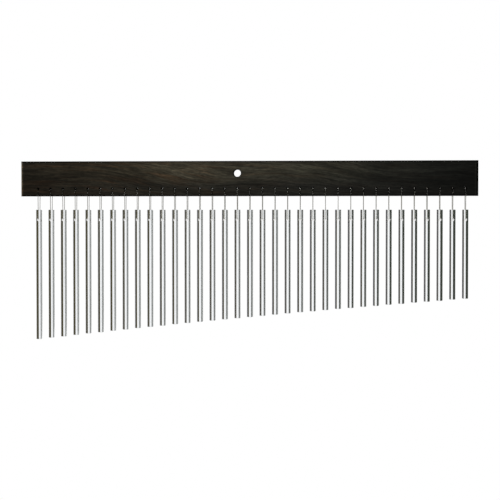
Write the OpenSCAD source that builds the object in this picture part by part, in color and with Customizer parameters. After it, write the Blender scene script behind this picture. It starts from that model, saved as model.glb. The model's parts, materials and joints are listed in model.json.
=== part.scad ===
// Bar chimes: a hardwood bar that carries a row of solid aluminium rods, each
// hung on its own knotted loop of clear nylon line.
// X runs along the bar towards the short chimes, Y through its thickness with
// the player on the -Y side, and Z up. The origin is the mounting hole's middle.

/* [Bar] */
// Thickness of the bar, front to back
bar_t = 12.7; // [10:0.1:20]
// Height of the bar
bar_h = 56; // [52:1:80]
// From the longest chime's middle to the bar's near end
bass_margin = 28; // [12:0.5:60]
// From the shortest chime's middle to the bar's near end
treble_margin = 20; // [12:0.5:60]
// Rounding of the four long edges
edge_r = 2; // [0.5:0.1:4]
// Rounding of the upright edges at both ends
end_r = 4; // [0.5:0.1:4.5]

/* [Mounting hole] */
// Diameter of the hole that the bar is held by
mount_d = 11.5; // [6:0.1:16]
// From the bar's top down to the hole's middle
mount_drop = 19.5; // [14:0.5:24]
// The chime that the hole stands above, counted from the longest
mount_chime = 17; // [1:1:20]
// Chamfer of the hole's two mouths
mount_chamfer = 0.8; // [0.2:0.1:1]

/* [String holes] */
// Diameter of the holes through the bar
bar_hole_d = 2.4; // [2:0.1:4]
// From the bar's bottom up to the middles of its holes
bar_hole_rise = 12; // [8:0.5:15]
// Depth of the countersink at both mouths of a hole through the bar
bar_lip_sink = 0.7; // [0.6:0.05:1]
// Diameter of the cross hole through each rod
cross_hole_d = 3; // [2.2:0.1:3.6]
// From a rod's top down to the middle of its cross hole
cross_hole_drop = 16; // [8:0.5:24]
// Depth of the countersink at both mouths of a cross hole
rod_lip_sink = 0.8; // [0.6:0.05:1]

/* [Chimes] */
// Number of chimes
chime_count = 35; // [20:1:45]
// Spacing of the chimes, middle to middle
pitch = 20; // [16:0.5:30]
// Diameter of the rods
chime_d = 9.5; // [8:0.1:12]
// Length of the longest rod, at the bass end
longest = 208; // [180:1:300]
// Length of the shortest rod, at the treble end
shortest = 140.5; // [100:0.5:175]
// Step that the rods are sawn to
saw_step = 0.5; // [0.1:0.1:1]
// From the bar's bottom down to the tops of the rods
hang_gap = 21.5; // [12:0.5:40]
// Chamfer round both ends of each rod
rod_chamfer = 0.5; // [0.2:0.1:1.5]

/* [Strings] */
// Diameter of the nylon line
string_d = 1; // [0.6:0.05:1.2]
// Radius of the line's bends, to its middle
bend_r = 1.2; // [1.1:0.1:2]
// Clearance between the line and the wall of a hole that it pulls on
string_fit = 0.1; // [0.05:0.01:0.2]
// Clearance between the strands and the faces that they hang beside
string_gap = 0.5; // [0.3:0.05:1]
// Clearance between the knot and the back of the bar
knot_gap = 0.5; // [0.3:0.05:1]
// Number of turns in the knot
knot_turns = 4; // [2:1:6]
// Length of the two cut ends that stand out of the knot
tail_len = 4; // [2:0.5:8]
// Angle of the cut ends to the strand
tail_angle = 38; // [20:1:60]

/* [Hidden] */
$fn = 48;
overrun = 1;
wood_colour = [0.18, 0.155, 0.13];
metal_colour = [0.8, 0.81, 0.83];
nylon_colour = [0.9, 0.91, 0.89];

// The bar about the mounting hole
bar_left = (1 - mount_chime) * pitch - bass_margin;
bar_right = (chime_count - mount_chime) * pitch + treble_margin;
bar_len = bar_right - bar_left;
bar_top = mount_drop;
bar_bottom = bar_top - bar_h;
bar_hole_z = bar_bottom + bar_hole_rise;

// The rods under it
chime_top = bar_bottom - hang_gap;
cross_hole_z = chime_top - cross_hole_drop;

// The knot's turns lie round the line, each one a little into the next
wrap_share = 0.9;
turn_share = 0.88;
wrap_r = wrap_share * string_d;
turn_step = turn_share * string_d;
knot_r = wrap_r + string_d / 2;
knot_len = (knot_turns - 1) * turn_step + string_d;

// The line pulls on the bottom of the bar's hole and on the top of the rod's
upper_run_z = bar_hole_z - (bar_hole_d - string_d) / 2 + string_fit;
lower_run_z = cross_hole_z + (cross_hole_d - string_d) / 2 - string_fit;
bend_drop = upper_run_z - lower_run_z - 2 * bend_r;

// Each straight length ends a little way inside the next bend, and the bends are
// drawn a hair thicker than the line, so that the loop is one unbroken solid
splice_share = 0.15;
bend_share = 1.04;
splice = splice_share * string_d;
bend_d = bend_share * string_d;

// The knot is pulled up behind the bar's hole, whose upper run ends half way down it
knot_rise = bend_r + knot_len / 2;

// Distance of the strands from the middle plane
front_y = bar_t / 2 + string_gap + string_d / 2;
back_y = bar_t / 2 + knot_gap + knot_r;
rod_y = chime_d / 2 + string_gap + string_d / 2;

function chime_x(i) = (i - mount_chime) * pitch;

// Each rod is shorter than the one before by the same ratio, to the nearest saw step
function even_len(i) = longest * pow(shortest / longest, (i - 1) / (chime_count - 1));
function chime_len(i) = saw_step * round(even_len(i) / saw_step);

function chime_name(i) = str("chime_", i < 10 ? "0" : "", i);

module rounded_rect(width, height, r) {
  translate([r, 0])
    square([width - 2 * r, height]);
  translate([0, r])
    square([width, height - 2 * r]);
  for (x = [r, width - r], y = [r, height - r])
    translate([x, y])
      circle(r);
}

// A hole along Y through a thickness, with both mouths countersunk
module eyed_hole(d, thickness, sink) {
  reach = thickness / 2;
  rotate([90, 0, 0])
    cylinder(d = d, h = thickness + 2 * overrun, center = true);
  for (turn = [-90, 90])
    rotate([turn, 0, 0])
      translate([0, 0, reach - sink])
        cylinder(d1 = d, d2 = d + 2 * (sink + overrun), h = sink + overrun);
}

// The sawn and edge-rounded blank
module bar_blank() {
  intersection() {
    translate([bar_left, -bar_t / 2, bar_bottom])
      rotate([90, 0, 90])
        linear_extrude(bar_len)
          rounded_rect(bar_t, bar_h, edge_r);
    translate([bar_left, -bar_t / 2, bar_bottom - overrun])
      linear_extrude(bar_h + 2 * overrun)
        rounded_rect(bar_len, bar_t, end_r);
  }
}

module bar() {
  color(wood_colour)
    difference() {
      bar_blank();
      eyed_hole(mount_d, bar_t, mount_chamfer);
      for (i = [1:chime_count])
        translate([chime_x(i), 0, bar_hole_z])
          eyed_hole(bar_hole_d, bar_t, bar_lip_sink);
    }
}

// A solid rod that hangs from its cross hole
module rod(len) {
  r = chime_d / 2;
  color(metal_colour)
    difference() {
      translate([0, 0, chime_top - len])
        rotate_extrude()
          polygon([
            [0, 0], [r - rod_chamfer, 0], [r, rod_chamfer],
            [r, len - rod_chamfer], [r - rod_chamfer, len], [0, len]
          ]);
      translate([0, 0, cross_hole_z])
        eyed_hole(cross_hole_d, chime_d, rod_lip_sink);
    }
}

// A bend of the line in the YZ plane, turned from +Y towards +Z
module bend(start, sweep) {
  rotate([90, 0, 90])
    rotate([0, 0, start])
      rotate_extrude(angle = sweep)
        translate([bend_r, 0])
          circle(d = bend_d);
}

// A straight run of the line along Y, which ends just inside a bend at each end
module run(z, y_from, y_to) {
  translate([0, y_from - splice, z])
    rotate([-90, 0, 0])
      cylinder(d = string_d, h = y_to - y_from + 2 * splice);
}

// One side of a loop, drawn on the +Y side: out of the bar, down and into the rod.
// Its children stand on the strand, at the lower end of the upper bend.
module side(top_y) {
  lean = atan((top_y - rod_y) / bend_drop);
  len = bend_drop / cos(lean);
  translate([0, top_y - bend_r, upper_run_z - bend_r]) {
    bend(-lean, 90 + lean);
    rotate([-lean, 0, 0])
      translate([0, bend_r, 0]) {
        translate([0, 0, -len - splice])
          cylinder(d = string_d, h = len + 2 * splice);
        children();
      }
  }
  translate([0, rod_y - bend_r, lower_run_z + bend_r])
    bend(-90, 90 - lean);
}

// A cut end of the line that stands out of the knot at a height
module tail(height, angle) {
  translate([0, wrap_r, height])
    rotate([angle, 0, 0])
      translate([0, 0, -tail_len])
        cylinder(d = string_d, h = tail_len);
}

// Turns of line wrapped round the strand, with the two cut ends
module knot() {
  translate([0, 0, -knot_len])
    rotate_extrude() {
      square([wrap_r, knot_len]);
      for (k = [0:knot_turns - 1])
        translate([wrap_r, k * turn_step + string_d / 2])
          circle(d = string_d);
    }
  tail(-string_d / 2, 180 - tail_angle);
  tail(string_d / 2 - knot_len, tail_angle);
}

// One closed loop of line through the bar and the rod, knotted at the back
module string_loop() {
  color(nylon_colour) {
    run(upper_run_z, bend_r - front_y, back_y - bend_r);
    run(lower_run_z, bend_r - rod_y, rod_y - bend_r);
    mirror([0, 1, 0])
      side(front_y);
    side(back_y)
      translate([0, 0, knot_rise])
        knot();
  }
}

module chime(i) {
  translate([chime_x(i), 0, 0]) {
    rod(chime_len(i));
    string_loop();
  }
}

bar();
for (i = [1:chime_count])
  chime(i);
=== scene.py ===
"""Looks of a set of bar chimes: a dark stained hardwood bar, polished aluminium rods
and knotted loops of clear nylon line. Metres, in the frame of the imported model."""

import json
import math

import bpy
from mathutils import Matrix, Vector


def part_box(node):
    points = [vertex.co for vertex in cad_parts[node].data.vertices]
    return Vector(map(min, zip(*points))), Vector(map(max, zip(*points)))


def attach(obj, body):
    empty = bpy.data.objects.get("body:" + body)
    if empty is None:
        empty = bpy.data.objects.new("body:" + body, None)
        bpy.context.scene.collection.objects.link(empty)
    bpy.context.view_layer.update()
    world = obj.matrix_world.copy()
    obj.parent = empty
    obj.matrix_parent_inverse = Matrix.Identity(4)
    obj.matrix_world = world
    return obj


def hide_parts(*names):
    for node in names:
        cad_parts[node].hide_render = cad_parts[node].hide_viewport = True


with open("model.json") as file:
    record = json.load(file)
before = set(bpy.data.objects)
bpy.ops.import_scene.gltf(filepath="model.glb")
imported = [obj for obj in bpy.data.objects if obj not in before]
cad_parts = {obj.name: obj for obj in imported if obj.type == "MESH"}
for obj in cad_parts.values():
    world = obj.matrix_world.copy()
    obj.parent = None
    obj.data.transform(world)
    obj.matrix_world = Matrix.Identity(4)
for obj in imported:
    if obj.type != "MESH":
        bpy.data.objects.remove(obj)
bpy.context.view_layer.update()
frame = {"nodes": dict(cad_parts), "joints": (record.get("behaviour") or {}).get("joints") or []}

MM = 0.001
TURN = 2 * math.pi
# Points closer than this become one
WELD = MM / 1000

# Bar
BAR_LOW, BAR_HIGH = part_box("bar")
BAR_T = BAR_HIGH.y - BAR_LOW.y
END_R = 4 * MM
MOUNT_D = 11.5 * MM
MOUNT_CHAMFER = 0.8 * MM
BAR_HOLE_D = 2.4 * MM
BAR_LIP_SINK = 0.7 * MM

# Rods
ROD_D = 9.5 * MM
ROD_ROUNDING = 0.5 * MM
HANG_GAP = 21.5 * MM
ROD_TOP = BAR_LOW.z - HANG_GAP
CROSS_HOLE_D = 3 * MM
CROSS_HOLE_DROP = 16 * MM
CROSS_HOLE_Z = ROD_TOP - CROSS_HOLE_DROP
ROD_LIP_SINK = 0.8 * MM
ROD_SEGMENTS = 96
ROUNDING_STEPS = 5
HOLE_SEGMENTS = 40
# How far the space that is cut out of a rod stands past its faces
OVERRUN = 1 * MM
# The countersinks' corners are broken by this much
BROKEN_CORNER = 0.05 * MM

# Line
LINE_D = 1 * MM
BEND_R = 1.2 * MM
# Its clearance at the walls that it pulls on, and at the faces that it hangs beside
LINE_FIT = 0.1 * MM
LINE_GAP = 0.5 * MM
LINE_SIDES = 16
BEND_STEPS = 10

# Knot
KNOT_TURNS = 4
KNOT_COIL_R = 0.9 * LINE_D
KNOT_STEP = 0.9 * LINE_D
KNOT_SIDES = 12
COIL_STEPS = 20
TAIL_LEN = 4 * MM
TAIL_ANGLE = math.radians(38)
TAIL_STEPS = 4

# The joints give each chime's place along the bar and the height of its upper run
CHIMES = [
    {"body": joint["child"], "number": joint["child"][-2:], "at": Vector(joint["pos_m"])}
    for joint in frame["joints"]
]
PITCH = CHIMES[1]["at"].x - CHIMES[0]["at"].x
FIRST_X = CHIMES[0]["at"].x
LAST_X = CHIMES[-1]["at"].x
UPPER_RUN_Z = CHIMES[0]["at"].z
LOWER_RUN_Z = CROSS_HOLE_Z + (CROSS_HOLE_D - LINE_D) / 2 - LINE_FIT
BAR_HOLE_Z = UPPER_RUN_Z + (BAR_HOLE_D - LINE_D) / 2 - LINE_FIT

# Distance of the strands from the middle plane
FRONT_Y = BAR_T / 2 + LINE_GAP + LINE_D / 2
BACK_Y = BAR_T / 2 + LINE_GAP + KNOT_COIL_R + LINE_D / 2
ROD_SIDE_Y = ROD_D / 2 + LINE_GAP + LINE_D / 2

# The grain slopes up along the bar, swells in long waves and drifts unevenly
GRAIN_SLOPE = 0.1
SWELL_START = -140 * MM
SWELL_LENGTH = 320 * MM
SWELL_HEIGHT = 4 * MM
GRAIN_DRIFT = 20 * MM

# Stain and painted sheen in the upper and the lower part of the bar, by share of the way from the
# bass end
# The upper colours are lighter by a painted sheen, most in the middle of the bass half; the darker
# treble end is partly stain, partly no sheen
UPPER_STAIN_AND_SHEEN = (
    (0.0, (0.0185, 0.0160, 0.0110)),
    (0.12, (0.0180, 0.0150, 0.0095)),
    (0.24, (0.0380, 0.0325, 0.0205)),
    (0.36, (0.0600, 0.0520, 0.0340)),
    (0.47, (0.0400, 0.0360, 0.0245)),
    (0.62, (0.0290, 0.0275, 0.0190)),
    (0.78, (0.0160, 0.0160, 0.0120)),
    (0.9, (0.0080, 0.0082, 0.0066)),
    (1.0, (0.0042, 0.0044, 0.0036)),
)
LOWER_STAIN = (
    (0.0, (0.0170, 0.0138, 0.0092)),
    (0.3, (0.0160, 0.0145, 0.0105)),
    (0.6, (0.0150, 0.0145, 0.0115)),
    (0.8, (0.0080, 0.0080, 0.0066)),
    (1.0, (0.0036, 0.0038, 0.0031)),
)
LOWER_STAIN_Z = -19 * MM
UPPER_STAIN_AND_SHEEN_Z = 6 * MM
RED_TINT = (1.45, 0.94, 0.7)

# Studio
FLOOR_Z = -0.75
FLOOR_HALF = 8.0
FLOOR_COLOUR = (0.86, 0.86, 0.86, 1)
FADE_START, FADE_END = 0.5, 1.05
WHITE = (1, 1, 1, 1)
AMBIENT = 0.62
SOFTBOX_AT = Vector((-0.05, -2.4, 0.3))
SOFTBOX_AIM = Vector((0, 0, -0.12))
SOFTBOX_SIZE = (3.5, 1.9)
SOFTBOX_WATTS = 22

# Cards: X, reach along Y, reach along Z, colour
CARDS = {
    "flag_left": (-0.425, (-0.575, 0.045), (-0.6, 0.4), (0.078, 0.069, 0.04)),
    "flag_right": (0.455, (-0.34, 0.11), (-0.6, 0.4), (0.05, 0.056, 0.045)),
    "wall_left": (-2.3, (-0.33, 1.45), (-0.7, 1.2), (0.25, 0.25, 0.29)),
    "strip_right": (0.815, (-1.52, -1.33), (-0.7, 1.2), (0.04, 0.055, 0.09)),
    "back_left": (-0.59, (0.39, 3.5), (-0.7, 1.2), (0.014, 0.016, 0.013)),
    "back_right": (1.7, (0.95, 4.5), (-0.7, 1.2), (0.04, 0.045, 0.03)),
}

# Camera, from the photograph's own perspective, for a square frame
CAMERA_AT = Vector((153.6, -2100, -76.3)) * MM
CAMERA_YAW = math.radians(3.64)
CAMERA_PITCH = math.radians(-1.25)
CLIP_START = 10 * MM
FOCAL_PIXELS = 1321
FRAME_PIXELS = 500
SENSOR_MM = 36


class Graph:
    """One node tree. Each node is made, set and joined in a single call."""

    def __init__(self, tree):
        self.tree = tree

    def put(self, socket, value):
        if isinstance(value, bpy.types.Node):
            value = value.outputs[0]
        if isinstance(value, bpy.types.NodeSocket):
            self.tree.links.new(value, socket)
        else:
            socket.default_value = value

    def add(self, kind, sockets=None, **settings):
        node = self.tree.nodes.new(kind)
        for name, value in settings.items():
            setattr(node, name, value)
        for key, value in (sockets or {}).items():
            self.put(node.inputs[key], value)
        return node

    def math(self, operation, *values):
        node = self.add("ShaderNodeMath", operation=operation)
        for socket, value in zip(node.inputs, values):
            self.put(socket, value)
        return node.outputs[0]

    def total(self, first, *others):
        for other in others:
            first = self.math("ADD", first, other)
        return first

    def product(self, first, *others):
        for other in others:
            first = self.math("MULTIPLY", first, other)
        return first

    def less(self, first, second):
        return self.math("SUBTRACT", first, second)

    def apart(self, first, second):
        """How far two values are from each other, either way."""
        return self.math("ABSOLUTE", self.less(first, second))

    def vector(self, x=0.0, y=0.0, z=0.0):
        return self.add("ShaderNodeCombineXYZ", {"X": x, "Y": y, "Z": z}).outputs[0]

    def length(self, vector):
        node = self.add("ShaderNodeVectorMath", {0: vector}, operation="LENGTH")
        return node.outputs["Value"]


class Shape(Graph):
    """A geometry node tree with named inputs that ends in plain, finished geometry."""

    def __init__(self, name, **inputs):
        super().__init__(bpy.data.node_groups.new(name, "GeometryNodeTree"))
        face = self.tree.interface
        for key, kind in inputs.items():
            face.new_socket(key, in_out="INPUT", socket_type="NodeSocket" + kind)
        face.new_socket("Geometry", in_out="OUTPUT", socket_type="NodeSocketGeometry")
        self.given = self.add("NodeGroupInput").outputs

    def polyline(self, points, rounding, steps, closed=False):
        """A curve through the points, whose corners are rounded."""
        line = self.add("GeometryNodeMeshLine", {"Count": len(points)})
        index = self.add("GeometryNodeInputIndex")
        axes = []
        for axis in range(3):
            choice = self.add("GeometryNodeIndexSwitch", data_type="FLOAT")
            while len(choice.index_switch_items) < len(points):
                choice.index_switch_items.new()
            self.put(choice.inputs["Index"], index)
            for socket, point in zip(choice.inputs[1:], points):
                self.put(socket, point[axis])
            axes.append(choice.outputs[0])
        place = self.vector(*axes)
        placed = self.add("GeometryNodeSetPosition", {"Geometry": line, "Position": place})
        curve = self.add("GeometryNodeMeshToCurve", {"Mesh": placed})
        if closed:
            curve = self.add("GeometryNodeSetSplineCyclic", {"Geometry": curve, "Cyclic": True})
        return self.add(
            "GeometryNodeFilletCurve",
            {"Curve": curve, "Count": steps, "Radius": rounding, "Limit Radius": True},
            mode="POLY",
        )

    def lathe(self, profile, segments):
        """Turns a curve of (radius, 0, height) points about the Z axis."""
        rows = self.add("GeometryNodeAttributeDomainSize", {"Geometry": profile}, component="CURVE")
        per_row = segments + 1
        grid = self.add("GeometryNodeMeshGrid", {"Vertices X": rows, "Vertices Y": per_row})
        index = self.add("GeometryNodeInputIndex").outputs[0]
        row = self.math("FLOOR", self.math("DIVIDE", index, per_row))
        column = self.less(index, self.product(row, per_row))
        angle = self.product(column, TURN / segments)
        spot = self.add(
            "GeometryNodeSampleIndex",
            {"Geometry": profile, "Value": self.add("GeometryNodeInputPosition"), "Index": row},
            data_type="FLOAT_VECTOR",
        )
        spot = self.add("ShaderNodeSeparateXYZ", {"Vector": spot}).outputs
        place = self.vector(
            self.product(spot["X"], self.math("COSINE", angle)),
            self.product(spot["X"], self.math("SINE", angle)),
            spot["Z"],
        )
        turned = self.add("GeometryNodeSetPosition", {"Geometry": grid, "Position": place})
        return self.welded(turned)

    def sweep(self, curve, diameter, sides):
        """A round line along a curve, its cut ends closed."""
        radius = self.product(diameter, 0.5)
        ring = self.add("GeometryNodeCurvePrimitiveCircle", {"Resolution": sides, "Radius": radius})
        return self.add(
            "GeometryNodeCurveToMesh", {"Curve": curve, "Profile Curve": ring, "Fill Caps": True}
        )

    def moved(self, geometry, offset=(0, 0, 0), turn=(0, 0, 0)):
        return self.add(
            "GeometryNodeTransform",
            {"Geometry": geometry, "Translation": offset, "Rotation": turn},
        )

    def welded(self, geometry):
        return self.add("GeometryNodeMergeByDistance", {"Geometry": geometry, "Distance": WELD})

    def joined(self, *parts):
        node = self.add("GeometryNodeJoinGeometry")
        for part in reversed(parts):
            self.put(node.inputs[0], part)
        return node

    def finish(self, geometry, material, crease):
        """Realizes instances, keeps edges over the crease in degrees sharp, sets the material."""
        real = self.add("GeometryNodeRealizeInstances", {"Geometry": geometry})
        bend = self.add("GeometryNodeInputMeshEdgeAngle").outputs["Unsigned Angle"]
        soft = self.math("LESS_THAN", bend, math.radians(crease))
        edges = self.add(
            "GeometryNodeSetShadeSmooth", {"Geometry": real, "Shade Smooth": soft}, domain="EDGE"
        )
        faces = self.add(
            "GeometryNodeSetShadeSmooth", {"Geometry": edges, "Shade Smooth": True}, domain="FACE"
        )
        done = self.add("GeometryNodeSetMaterial", {"Geometry": faces, "Material": material})
        self.add("NodeGroupOutput", {"Geometry": done})
        return self.tree


class Finish(Graph):
    """A material whose nodes read the object's own coordinates."""

    def __init__(self, name):
        self.material = bpy.data.materials.new(name)
        self.material.use_nodes = True
        super().__init__(self.material.node_tree)
        self.shader = self.tree.nodes["Principled BSDF"]
        self.place = self.add("ShaderNodeTexCoord").outputs["Object"]

    def noise(self, scale, detail=4, roughness=0.5, distortion=0, source=None):
        """Noise from 0 to 1. The scale is cells per metre along X, Y and Z."""
        stretched = self.add(
            "ShaderNodeMapping", {"Vector": source or self.place, "Scale": scale}
        )
        return self.add(
            "ShaderNodeTexNoise",
            {
                "Vector": stretched,
                "Scale": 1.0,
                "Detail": detail,
                "Roughness": roughness,
                "Distortion": distortion,
            },
        ).outputs["Fac"]

    def span(self, value, low, high, to_low=0.0, to_high=1.0):
        """Takes low to high evenly to the other two values, and holds them beyond."""
        return self.add(
            "ShaderNodeMapRange",
            {
                "Value": value,
                "From Min": low,
                "From Max": high,
                "To Min": to_low,
                "To Max": to_high,
            },
        ).outputs[0]

    def ramp(self, value, stops):
        node = self.add("ShaderNodeValToRGB", {"Fac": value})
        points = node.color_ramp.elements
        while len(points) < len(stops):
            points.new(0.5)
        for point, (at, colour) in zip(points, stops):
            point.position = at
            point.color = (*colour, 1)
        return node.outputs[0]

    def mixed(self, share, first, second, blend="MIX"):
        """The second colour over the first by a share. For colours, a Mix node takes the share
        at input 0 and the colours at 6 and 7, and gives the result at output 2."""
        node = self.add("ShaderNodeMix", data_type="RGBA", blend_type=blend)
        sockets = (node.inputs[0], node.inputs[6], node.inputs[7])
        for socket, value in zip(sockets, (share, first, second)):
            if isinstance(value, tuple):
                value = (*value, 1)
            self.put(socket, value)
        return node.outputs[2]

    def times(self, colour, share):
        """A colour made lighter or darker by a share."""
        return self.mixed(1.0, colour, self.vector(share, share, share), "MULTIPLY")

    def axes(self):
        """The object's own X, Y and Z."""
        return self.add("ShaderNodeSeparateXYZ", {"Vector": self.place}).outputs

    def from_axis(self, x, z, height):
        """Distance, seen from the front, to a hole whose middle has X at zero."""
        return self.length(self.vector(x, 0.0, self.less(z, height)))

    def from_row(self, height):
        """Distance, seen from the front, to the nearest of the chimes' holes at a height.
        Past both ends of the row a metre is added, because no hole is there."""
        x, _, z = self.axes()
        beside = self.math("PINGPONG", x, PITCH / 2)
        away = self.from_axis(beside, z, height)
        middle, half = (FIRST_X + LAST_X) / 2, (LAST_X - FIRST_X + PITCH) / 2
        inside = self.math("COMPARE", x, middle, half)
        return self.total(away, self.less(1.0, inside))

    def bump(self, height, distance, strength):
        return self.add(
            "ShaderNodeBump", {"Height": height, "Distance": distance, "Strength": strength}
        ).outputs[0]

    def set(self, **sockets):
        for name, value in sockets.items():
            self.put(self.shader.inputs[name.replace("_", " ")], value)
        return self.material


def stain_and_sheen(f, x, z, drift, grain):
    """The wood's colour: brown in the bass half, nearly black at the treble end, with a painted
    sheen that lightens the upper part, most in the middle of the bass half.
    """
    along = f.span(x, BAR_LOW.x, BAR_HIGH.x)
    # The border between the lower colours and the upper ones with the painted sheen wavers with the
    # grain
    height = f.total(z, f.product(drift, 0.6))
    upward = f.span(height, LOWER_STAIN_Z, UPPER_STAIN_AND_SHEEN_Z)
    colour = f.mixed(upward, f.ramp(along, LOWER_STAIN), f.ramp(along, UPPER_STAIN_AND_SHEEN))
    # Reddish patches fade towards the treble end
    patches = f.span(f.noise((14, 150, 240), detail=3, source=grain), 0.48, 0.68, 0.0, 0.6)
    fading = f.span(x, -100 * MM, 120 * MM, 1.0, 0.35)
    red = f.mixed(1.0, colour, RED_TINT, "MULTIPLY")
    return f.mixed(f.product(patches, fading), colour, red)


def painted_edge_light(f, x, y, z):
    """How much painted shade darkens the bar's edges and painted highlights lighten them, as a
    factor.
    """
    # Painted highlights: the bass end's rounding is painted paler, and so is the line where the
    # treble end's rounding starts
    bass_end_highlight = f.span(x, BAR_LOW.x + 0.5 * MM, BAR_LOW.x + 4 * MM, 9.0, 1.0)
    off_line = f.apart(x, BAR_HIGH.x - END_R - 0.5 * MM)
    shade = f.product(bass_end_highlight, f.span(off_line, 0.3 * MM, 1.2 * MM, 2.2, 1.0))
    # Painted shade darkens the arrises along the bottom, the top and the treble end
    depth = f.less(BAR_T / 2, f.math("ABSOLUTE", y))
    for value, edge in ((z, BAR_LOW.z), (z, BAR_HIGH.z), (x, BAR_HIGH.x)):
        inward = f.math("MAXIMUM", f.apart(value, edge), depth)
        shade = f.product(shade, f.span(inward, 1.2 * MM, 3.2 * MM, 0.3, 1.0))
    return shade


def off_holes(f, x, z):
    """0 in the bar's holes and 1 on its faces. It sets painted shade in the holes and around their
    mouths.
    """
    mount_r = MOUNT_D / 2 + MOUNT_CHAMFER
    hole_r = BAR_HOLE_D / 2 + BAR_LIP_SINK
    mount = f.span(f.from_axis(x, z, 0.0), mount_r, mount_r + 1.2 * MM)
    holes = f.span(f.from_row(BAR_HOLE_Z), hole_r - 0.4 * MM, hole_r + 0.8 * MM)
    return f.product(mount, holes)


def stained_wood():
    """Dark stained hardwood under a thin satin finish, its figure slanting across the bar, with a
    painted sheen and painted light and shade at its edges and holes.
    """
    f = Finish("stained_wood")
    x, y, z = f.axes()
    phase = f.product(f.less(x, SWELL_START), TURN / SWELL_LENGTH)
    swell = f.product(f.math("SINE", phase), SWELL_HEIGHT)
    drift = f.product(f.less(f.noise((7, 30, 30), detail=2), 0.5), GRAIN_DRIFT)
    grain = f.vector(x, y, f.total(z, f.product(x, GRAIN_SLOPE), swell, drift))
    figure = f.noise((7, 40, 75), detail=2, distortion=0.4, source=grain)
    streaks = f.noise((22, 420, 420), detail=3, roughness=0.7, source=grain)
    fibres = f.noise((110, 900, 900), detail=3, roughness=0.7, source=grain)
    pores = f.span(f.noise((130, 2600, 2600), detail=2, source=grain), 0.33, 0.43)
    face = off_holes(f, x, z)
    light = f.product(
        f.span(figure, 0.32, 0.68, 0.72, 1.28),
        f.span(streaks, 0.32, 0.68, 0.5, 1.5),
        f.span(fibres, 0.3, 0.7, 0.55, 1.45),
        f.span(pores, 0.0, 1.0, 0.55, 1.0),
        # Painted shade in the bar's holes and in a ring around their mouths
        f.span(face, 0.0, 1.0, 0.3, 1.0),
        # Painted shade and highlights at the bar's edges
        painted_edge_light(f, x, y, z),
    )
    sheen = f.span(f.noise((20, 60, 60), detail=3), 0.3, 0.7, 0.42, 0.55)
    return f.set(
        # The base colour holds the painted sheen, shade and highlights
        Base_Color=f.times(stain_and_sheen(f, x, z, drift, grain), light),
        Roughness=f.math("MAXIMUM", sheen, f.less(1.0, face)),
        Specular_IOR_Level=0.05,
        Normal=f.bump(f.total(f.product(fibres, 0.4), pores), 0.06 * MM, 0.5),
    )


def polished_aluminium():
    """Drawn and polished, with faint lengthwise lines and handling marks, and a painted glint:
    pale, matt hole mouths.
    """
    f = Finish("polished_aluminium")
    lines = f.noise((5200, 5200, 5), detail=2, roughness=0.6)
    haze = f.noise((70, 70, 30))
    marks = f.span(f.noise((500, 500, 260), roughness=0.7, distortion=1.2), 0.62, 0.72)
    colour = f.mixed(haze, (0.895, 0.915, 0.93), (0.935, 0.95, 0.955))
    rough = f.total(
        f.span(haze, 0.3, 0.7, 0.04, 0.09), f.product(marks, 0.08), f.product(lines, 0.03)
    )
    # Painted glint: the countersunk mouths of the cross holes are made near white, hardly metallic
    # and matt
    mouth_r = CROSS_HOLE_D / 2 + ROD_LIP_SINK
    cut = f.span(f.from_row(CROSS_HOLE_Z), mouth_r - 0.1 * MM, mouth_r + 0.1 * MM, 1.0, 0.0)
    return f.set(
        Base_Color=f.mixed(cut, colour, (0.97, 0.97, 0.97)),
        Metallic=f.span(cut, 0.0, 1.0, 1.0, 0.2),
        Roughness=f.math("MAXIMUM", rough, f.product(cut, 0.5)),
        Normal=f.bump(lines, 0.004 * MM, 0.15),
    )


def clear_nylon():
    """Clear extruded line, with faint lengthwise marks."""
    f = Finish("clear_nylon")
    cloud = f.noise((900, 900, 160), detail=3)
    return f.set(
        Base_Color=f.mixed(cloud, (0.40, 0.39, 0.345), (0.53, 0.515, 0.46)),
        Roughness=f.span(cloud, 0.3, 0.7, 0.08, 0.16),
        IOR=1.4,
        Transmission_Weight=1.0,
        Normal=f.bump(cloud, 0.01 * MM, 0.3),
    )


def add_object(name, data):
    made = bpy.data.objects.new(name, data)
    bpy.context.scene.collection.objects.link(made)
    return made


def plain_mesh(source, name):
    """The object's evaluated mesh as a new plain object at the origin."""
    graph = bpy.context.evaluated_depsgraph_get()
    mesh = bpy.data.meshes.new_from_object(source.evaluated_get(graph))
    mesh.name = name
    return add_object(name, mesh)


def grown(name, tree, **values):
    """A plain mesh object from a geometry node tree and its inputs, by name."""
    carrier = add_object(name + "_carrier", bpy.data.meshes.new(name + "_carrier"))
    modifier = carrier.modifiers.new("shape", "NODES")
    modifier.node_group = tree
    for item in tree.interface.items_tree:
        if item.item_type == "SOCKET" and item.in_out == "INPUT" and item.name in values:
            modifier[item.identifier] = values[item.name]
    made = plain_mesh(carrier, name)
    carrier.modifiers.remove(modifier)
    bpy.data.objects.remove(carrier)
    return made


def eye_cutter(shape, diameter, sink, thickness):
    """The space of a hole along Y whose two mouths are countersunk, past both faces."""
    radius = shape.product(diameter, 0.5)
    mouth = shape.total(radius, shape.total(sink, OVERRUN))
    face = shape.product(thickness, 0.5)
    outer, inner = shape.total(face, OVERRUN), shape.less(face, sink)
    back_outer, back_inner = shape.product(outer, -1.0), shape.product(inner, -1.0)
    profile = shape.polyline(
        [(0, 0, back_outer), (mouth, 0, back_outer), (radius, 0, back_inner),
         (radius, 0, inner), (mouth, 0, outer), (0, 0, outer)],
        BROKEN_CORNER, 1,
    )
    return shape.moved(shape.lathe(profile, HOLE_SEGMENTS), turn=(TURN / 4, 0, 0))


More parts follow.
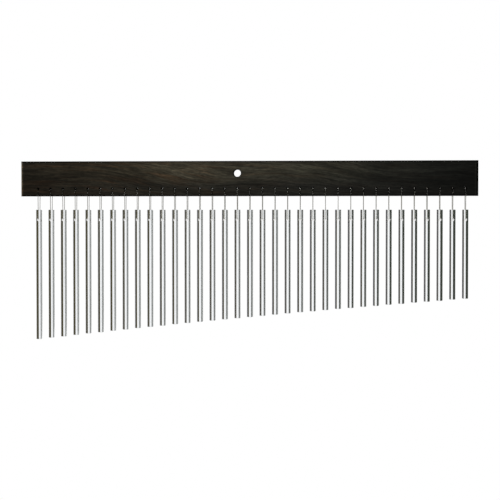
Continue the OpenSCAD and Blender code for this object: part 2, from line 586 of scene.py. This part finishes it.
def rod_tree(metal):
    """A rod about the Z axis with rounded ends and its cross hole along Y."""
    shape = Shape(
        "turned_rod", Diameter="Float", Top="Float", Tip="Float", Rounding="Float",
        Hole="Float", Drop="Float", Sink="Float", X="Float",
    )
    given = shape.given
    radius = shape.product(given["Diameter"], 0.5)
    top, tip = given["Top"], given["Tip"]
    profile = shape.polyline(
        [(0, 0, tip), (radius, 0, tip), (radius, 0, top), (0, 0, top)],
        given["Rounding"], ROUNDING_STEPS,
    )
    body = shape.lathe(profile, ROD_SEGMENTS)
    hole = eye_cutter(shape, given["Hole"], given["Sink"], given["Diameter"])
    hole = shape.moved(hole, shape.vector(z=shape.less(top, given["Drop"])))
    drilled = shape.add(
        "GeometryNodeMeshBoolean",
        {"Mesh 1": body, "Mesh 2": hole},
        operation="DIFFERENCE",
        solver="EXACT",
    )
    rod = shape.moved(shape.welded(drilled), shape.vector(given["X"]))
    return shape.finish(rod, metal, crease=30)


def cut_end(shape, diameter, way):
    """A cut end of the line that leaves the knot, upwards where way is 1, downwards where -1."""
    spread = KNOT_COIL_R + TAIL_LEN * math.sin(TAIL_ANGLE)
    reach = TAIL_LEN * math.cos(TAIL_ANGLE)
    path = shape.polyline(
        [(0, 0, 0), (0, KNOT_COIL_R, way * LINE_D / 2), (0, spread, way * reach)],
        LINE_D, TAIL_STEPS,
    )
    return shape.sweep(path, diameter, KNOT_SIDES)


def line_tree(nylon):
    """A closed loop of line in the YZ plane, with a coiled knot at the top of its back strand."""
    shape = Shape(
        "knotted_loop", Diameter="Float", Bend="Float", Upper="Float", Lower="Float",
        Front="Float", Back="Float", Side="Float", Turns="Float", X="Float",
    )
    given = shape.given
    diameter, upper, lower = given["Diameter"], given["Upper"], given["Lower"]
    front = shape.product(given["Front"], -1.0)
    rod_front = shape.product(given["Side"], -1.0)
    route = shape.polyline(
        [(0, front, upper), (0, rod_front, lower), (0, given["Side"], lower),
         (0, given["Back"], upper)],
        given["Bend"], BEND_STEPS, closed=True,
    )
    wraps = shape.less(given["Turns"], 1.0)
    length = shape.product(wraps, KNOT_STEP)
    knot_top = shape.total(upper, shape.product(length, 0.5))
    coil = shape.add(
        "GeometryNodeCurveSpiral",
        {
            "Resolution": COIL_STEPS,
            "Rotations": wraps,
            "Start Radius": KNOT_COIL_R,
            "End Radius": KNOT_COIL_R,
            "Height": length,
        },
    )
    bottom_place = shape.vector(0.0, given["Back"], shape.less(knot_top, length))
    top_place = shape.vector(0.0, given["Back"], knot_top)
    parts = shape.joined(
        shape.sweep(route, diameter, LINE_SIDES),
        shape.moved(shape.sweep(coil, diameter, KNOT_SIDES), bottom_place),
        shape.moved(cut_end(shape, diameter, -1), bottom_place),
        shape.moved(cut_end(shape, diameter, 1), top_place),
    )
    return shape.finish(shape.moved(parts, shape.vector(given["X"])), nylon, crease=50)


def chimes(metal, nylon):
    """A rod and its loop of line on each chime's body."""
    rods, lines = rod_tree(metal), line_tree(nylon)
    for chime in CHIMES:
        node = chime["body"]
        rod = grown(
            "rod_" + chime["number"], rods, Diameter=ROD_D, Top=ROD_TOP, Tip=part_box(node)[0].z,
            Rounding=ROD_ROUNDING, Hole=CROSS_HOLE_D, Drop=CROSS_HOLE_DROP, Sink=ROD_LIP_SINK,
            X=chime["at"].x,
        )
        line = grown(
            "string_" + chime["number"], lines, Diameter=LINE_D, Bend=BEND_R, Upper=UPPER_RUN_Z,
            Lower=LOWER_RUN_Z, Front=FRONT_Y, Back=BACK_Y, Side=ROD_SIDE_Y,
            Turns=float(KNOT_TURNS), X=chime["at"].x,
        )
        # The rods mirror the studio and not each other, which would wash out their dark bands
        rod.visible_glossy = False
        for piece, slot in ((rod, "aluminium"), (line, "clear_nylon")):
            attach(piece, node)
            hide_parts(node)


def bar_piece(wood):
    """The bar keeps its CAD solid and takes its wood."""
    bar = frame["nodes"]["bar"]
    bar.data.materials.clear()
    bar.data.materials.append(wood)


def flat_card(name, corners, material):
    """One flat face that belongs to the studio and not to the object."""
    mesh = bpy.data.meshes.new(name)
    mesh.from_pydata(corners, [], [range(len(corners))])
    mesh.materials.append(material)
    card = add_object(name, mesh)
    return card


def glow(name, colour):
    """A material that shines evenly in one colour."""
    material = bpy.data.materials.new(name)
    material.use_nodes = True
    g = Graph(material.node_tree)
    g.tree.nodes.clear()
    light = g.add("ShaderNodeEmission", {"Color": (*colour, 1)})
    g.add("ShaderNodeOutputMaterial", {"Surface": light})
    return material


def seen_white(g):
    """1 for what is seen, straight, in a reflection or through the line; 0 for diffuse light."""
    path = g.add("ShaderNodeLightPath").outputs
    seen = g.math("MAXIMUM", path["Is Camera Ray"], path["Is Glossy Ray"])
    return g.math("MAXIMUM", seen, path["Is Transmission Ray"])


def floor():
    """A pale floor that fades to white away from the object, and keeps its shadow below it."""
    material = bpy.data.materials.new("pale_floor")
    material.use_nodes = True
    g = Graph(material.node_tree)
    g.tree.nodes.clear()
    from_middle = g.length(g.add("ShaderNodeTexCoord").outputs["Object"])
    far = g.add(
        "ShaderNodeMapRange",
        {"Value": from_middle, "From Min": FADE_START, "From Max": FADE_END},
    )
    share = g.product(far, seen_white(g))
    pale = g.add("ShaderNodeBsdfDiffuse", {"Color": FLOOR_COLOUR})
    white = g.add("ShaderNodeEmission", {"Color": WHITE})
    surface = g.add("ShaderNodeMixShader", {0: share, 1: pale, 2: white})
    g.add("ShaderNodeOutputMaterial", {"Surface": surface})
    signs = ((-1, -1), (1, -1), (1, 1), (-1, 1))
    ground = flat_card("floor", [(x * FLOOR_HALF, y * FLOOR_HALF, 0) for x, y in signs], material)
    ground.location.z = FLOOR_Z


def cards():
    """Upright cards beside and behind the set, which only its reflections and clear line show."""
    for name, (x, (front, back), (low, high), colour) in CARDS.items():
        corners = [(x, front, low), (x, back, low), (x, back, high), (x, front, high)]
        card = flat_card(name, corners, glow(name, colour))
        card.visible_camera = False
        card.visible_diffuse = False
        card.visible_shadow = False


def softbox():
    """The lamp in front. It is left out of reflections, where it would add to the white."""
    light = bpy.data.lights.new("front_softbox", "AREA")
    light.shape = "RECTANGLE"
    light.size, light.size_y = SOFTBOX_SIZE
    light.energy = SOFTBOX_WATTS
    lamp = add_object("front_softbox", light)
    lamp.location = SOFTBOX_AT
    lamp.rotation_euler = (SOFTBOX_AIM - SOFTBOX_AT).to_track_quat("-Z", "Y").to_euler()
    lamp.visible_glossy = False


def surroundings():
    """White where it is seen, and dimmer as a light."""
    world = bpy.data.worlds.new("studio")
    bpy.context.scene.world = world
    world.use_nodes = True
    g = Graph(world.node_tree)
    g.tree.nodes.clear()
    strength = g.add(
        "ShaderNodeMapRange", {"Value": seen_white(g), "To Min": AMBIENT, "To Max": 1.0}
    )
    sky = g.add("ShaderNodeBackground", {"Color": WHITE, "Strength": strength})
    g.add("ShaderNodeOutputWorld", {"Surface": sky})


def camera():
    lens = bpy.data.cameras.new("photo_view")
    lens.sensor_width = SENSOR_MM
    lens.lens = FOCAL_PIXELS / FRAME_PIXELS * SENSOR_MM
    lens.clip_start = CLIP_START
    eye = add_object("photo_view", lens)
    eye.location = CAMERA_AT
    eye.rotation_euler = (TURN / 4 + CAMERA_PITCH, 0, CAMERA_YAW)
    bpy.context.scene.camera = eye


camera()
bar_piece(stained_wood())
chimes(polished_aluminium(), clear_nylon())
floor()
cards()
surroundings()
softbox()
bpy.context.scene.view_settings.view_transform = "Standard"
